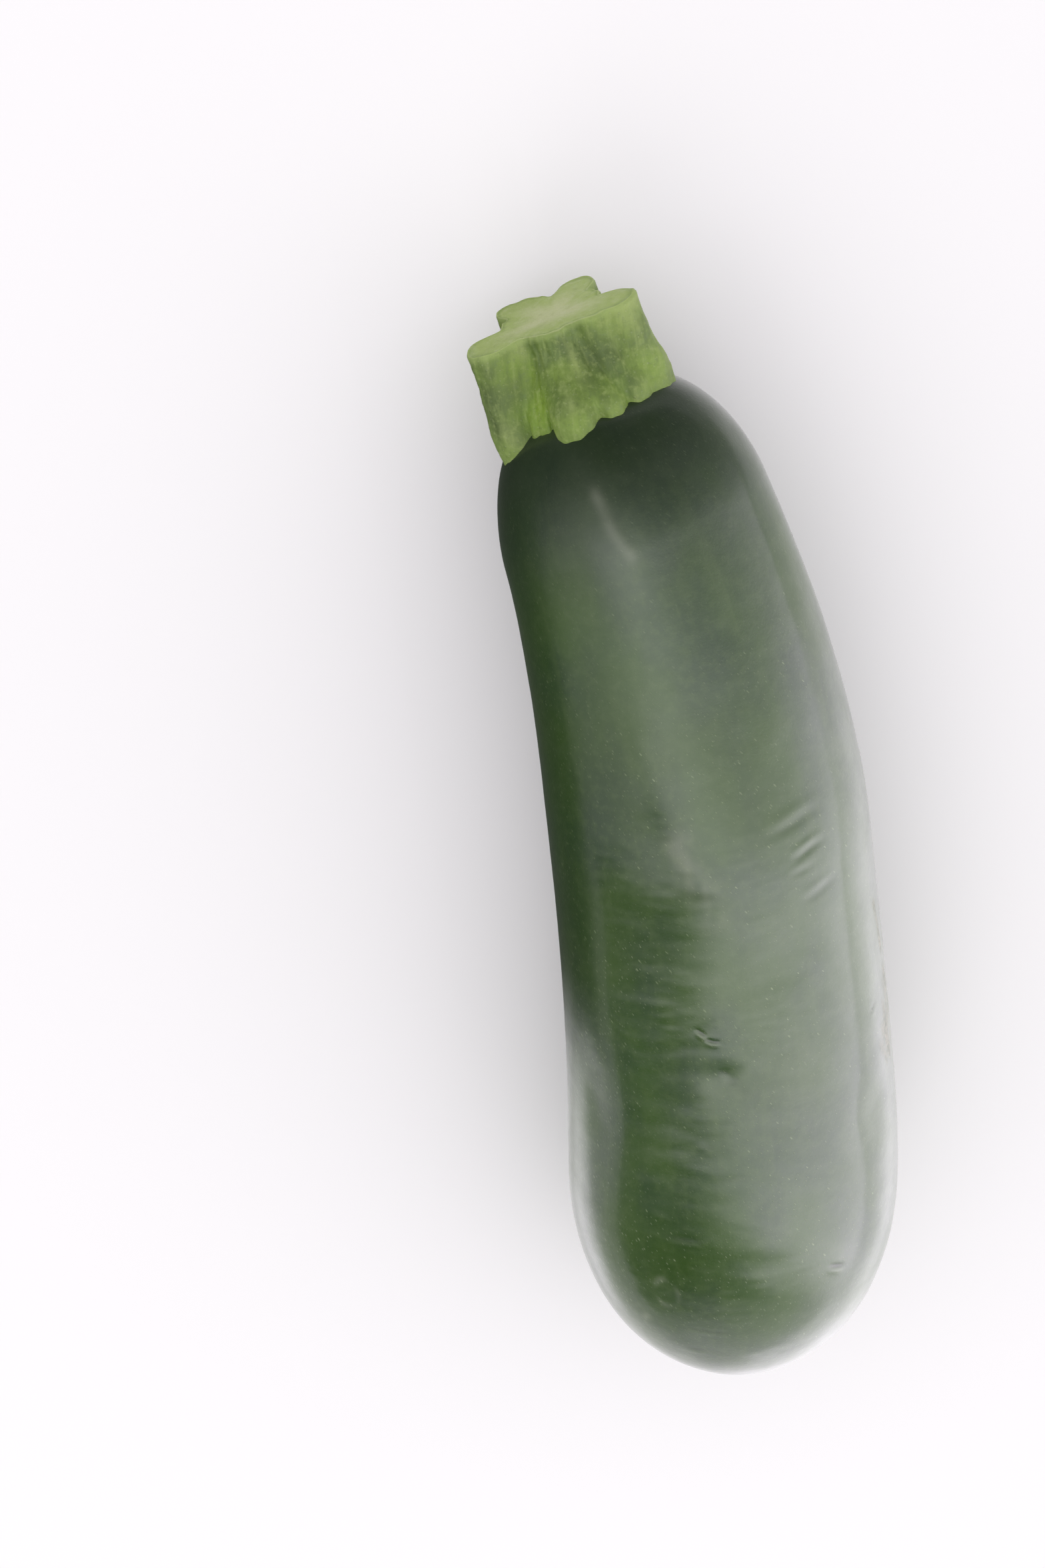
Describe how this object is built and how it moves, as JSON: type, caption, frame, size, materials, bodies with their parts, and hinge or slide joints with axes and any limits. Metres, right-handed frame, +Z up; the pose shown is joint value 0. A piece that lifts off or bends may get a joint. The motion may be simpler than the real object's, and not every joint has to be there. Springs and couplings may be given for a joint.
{
  "type": "zucchini",
  "caption": "Whole zucchini lying on its belly: a smooth dark green fruit, gently bent and slightly clubbed, with the ridged, star-shaped stub of its stem cut across",
  "frame": {"origin": "Centre of the box round the whole zucchini, at the height of the surface that it lies on", "axes": "+Z is up from the surface. +Y runs from the blossom end to the stem. +X is across the fruit, towards the side that its bent axis bulges to"},
  "size_m": [0.0586, 0.19, 0.0566],
  "materials": {
    "skin": "satin",
    "stem": "matte"
  },
  "bodies": {
    "root": {"fruit": "skin", "stem": "stem"}
  },
  "joints": []
}
